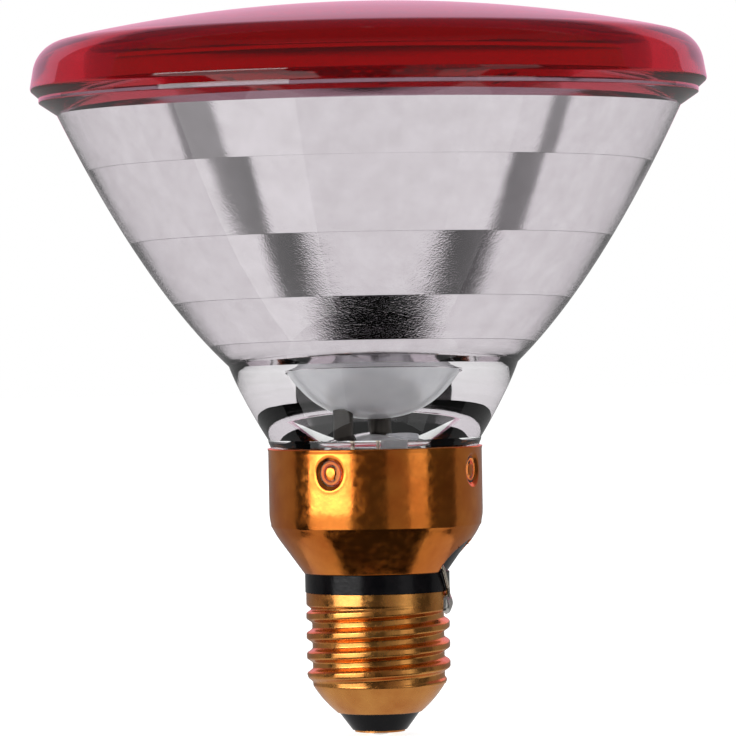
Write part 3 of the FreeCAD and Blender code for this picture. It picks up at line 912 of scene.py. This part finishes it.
def cards():
    for start, end, upright, flat_glow in CARDS:
        name = f"card_{start}"
        ring, foot = (CARD_REACH, CARD_LIFT), (FOOT_REACH[1], CARD_LIFT)
        arc_card(name, (start, end), ring, (CARD_REACH, CARD_TOP), card_material(name, upright))
        arc_card(name + "_floor", (start, end), foot, ring, card_material(name + "_floor", flat_glow))
    for start, end, glow in FOOT_CARDS:
        name = f"foot_card_{start}"
        inner, outer = [(r, CARD_LIFT) for r in FOOT_REACH]
        arc_card(name, (start, end), inner, outer, card_material(name, glow))
    nose = card_material("nose_card", 0.55)
    arc_card("nose_card", (0, 360), (NOSE_REACH, CARD_LIFT), (FOOT_REACH[0], CARD_LIFT), nose)
    front = card_material("front_card", 0.16)
    arc_card("front_card", FRONT_SPAN, (CARD_REACH, CARD_TOP), (CARD_REACH, FRONT_TOP), front)
    mauve = faded_material("back_card", "Z", (1.0, 0.4), (0.5, BACK_TOP), MAUVE)
    arc_card("back_card", BACKDROP_SPAN, (BACK_REACH, CARD_TOP * 0.4), (BACK_REACH, BACK_TOP), mauve)
    side = faded_material("side_card", "Z", (0.32, 0.2), (0.4, BACK_TOP), MAUVE)
    for azimuths in SIDE_SPANS:
        arc_card("side_card", azimuths, (BACK_REACH, CARD_TOP * 0.6), (BACK_REACH, BACK_TOP), side)
    back_roof = card_material("top_card_back", 0.25, MAUVE)
    arc_card("top_card_back", BACK_SPAN, (CARD_REACH, BACK_TOP), APEX, back_roof)
    front_roof = card_material("top_card_front", 0.1)
    arc_card("top_card_front", FRONT_SPAN, (CARD_REACH, FRONT_TOP), APEX, front_roof)


def floor():
    size = 4.0
    corners = [(-size, -size, 0), (size, -size, 0), (size, size, 0), (-size, size, 0)]
    paper = flat_mesh("floor", corners, [(0, 1, 2, 3)], floor_material())
    # The dark strip in front that the mirror's bands show.
    points = [(x, y + side * half, THROUGH_LIFT) for side in (-1, 1) for x, y, half in STRIP]
    strip = faded_material("floor_strip", "X", (0.0, 0.36), (0.03, 0.16))
    stage_card("floor_strip", points, row_faces(len(STRIP)), strip, glossy=False, through=True)
    # The dark floor behind that shows at the foot of the glass.
    near, middle, far = [(r, THROUGH_LIFT) for r in (0.12, 0.25, CARD_REACH)]
    through_card("back_floor_near", BACK_FLOOR_SPAN, near, middle, card_material("back_floor_near", 0.2))
    dark = card_material("back_floor", 0.02)
    through_card("back_floor", BACK_FLOOR_SPAN, middle, far, dark)
    through_card("back_foot", BACK_FLOOR_SPAN, far, (CARD_REACH, 0.05), dark)
    # The dark of the room in front of the table.
    near, far = [(r, THROUGH_LIFT) for r in (0.3, 0.6)]
    faded = faded_material("front_floor", "X", (0.03, 0.7), (0.03, 0.2))
    through_card("front_floor", FRONT_FLOOR_SPAN, near, far, faded)
    # The dark over the white backdrop, which the thick glass shows where it bends the light upwards.
    low_edge, top = [(CARD_REACH, z) for z in (0.5, 0.82)]
    through_card("backdrop_top", BACKDROP_SPAN, low_edge, top, card_material("backdrop_top", 0.03))


LAMP_REACH = 1.1
LAMP_AIM = Vector((0, 0, 0.07))


def lamp(name, azimuth, height, size, power):
    """A soft lamp for the diffuse light alone, turned towards the part."""
    light = bpy.data.lights.new(name, "AREA")
    light.shape = "RECTANGLE"
    light.size, light.size_y = size
    light.energy = power
    spot = link(bpy.data.objects.new(name, light))
    turn = math.radians(azimuth)
    spot.location = (LAMP_REACH * math.sin(turn), -LAMP_REACH * math.cos(turn), height)
    aim = LAMP_AIM - spot.location
    spot.rotation_euler = aim.to_track_quat("-Z", "Y").to_euler()
    spot.visible_glossy = False
    spot.visible_transmission = False


def world():
    """White to the camera, in gloss and through glass, and dimmer for the diffuse light."""
    sky = bpy.data.worlds.new("studio")
    bpy.context.scene.world = sky
    sky.use_nodes = True
    sky.cycles.sampling_method = "NONE"
    tree = sky.node_tree
    back = tree.nodes["Background"]
    path = tree.nodes.new("ShaderNodeLightPath")
    shown = tree.nodes.new("ShaderNodeMath")
    shown.operation = "ADD"
    tree.links.new(path.outputs["Is Camera Ray"], shown.inputs[0])
    tree.links.new(path.outputs["Is Transmission Ray"], shown.inputs[1])
    both = tree.nodes.new("ShaderNodeMath")
    both.operation = "ADD"
    both.use_clamp = True
    tree.links.new(shown.outputs[0], both.inputs[0])
    tree.links.new(path.outputs["Is Glossy Ray"], both.inputs[1])
    level = tree.nodes.new("ShaderNodeMapRange")
    level.inputs["To Min"].default_value = 0.45
    level.inputs["To Max"].default_value = 1.0
    tree.links.new(both.outputs[0], level.inputs["Value"])
    tree.links.new(level.outputs["Result"], back.inputs["Strength"])
    back.inputs["Color"].default_value = (1, 1, 1, 1)


CAMERA_PLACE = (0, -0.86, 0.076)
CAMERA_AIM = Vector((-0.001, 0, 0.067))
CAMERA_ROLL = -1.05
FOCAL_LENGTH = 230.5


def camera():
    """In front of the part at the height of its mirror, with a long lens and the photograph's slight roll."""
    view = link(bpy.data.objects.new("camera", bpy.data.cameras.new("camera")))
    view.data.lens = FOCAL_LENGTH
    view.data.sensor_width = 36
    view.data.clip_end = 20
    view.location = CAMERA_PLACE
    aim = CAMERA_AIM - view.location
    turn = aim.to_track_quat("-Z", "Y").to_matrix().to_4x4()
    view.rotation_euler = (turn @ Matrix.Rotation(math.radians(CAMERA_ROLL), 4, "Z")).to_euler()
    bpy.context.scene.camera = view


floor()
cards()
lamp("key", azimuth=-50, height=0.35, size=(0.5, 0.9), power=5.0)
lamp("fill", azimuth=47, height=0.35, size=(0.4, 0.8), power=2.6)
lamp("top", azimuth=180, height=1.2, size=(0.9, 0.9), power=3.0)
world()
camera()
bpy.context.scene.view_settings.view_transform = "Standard"
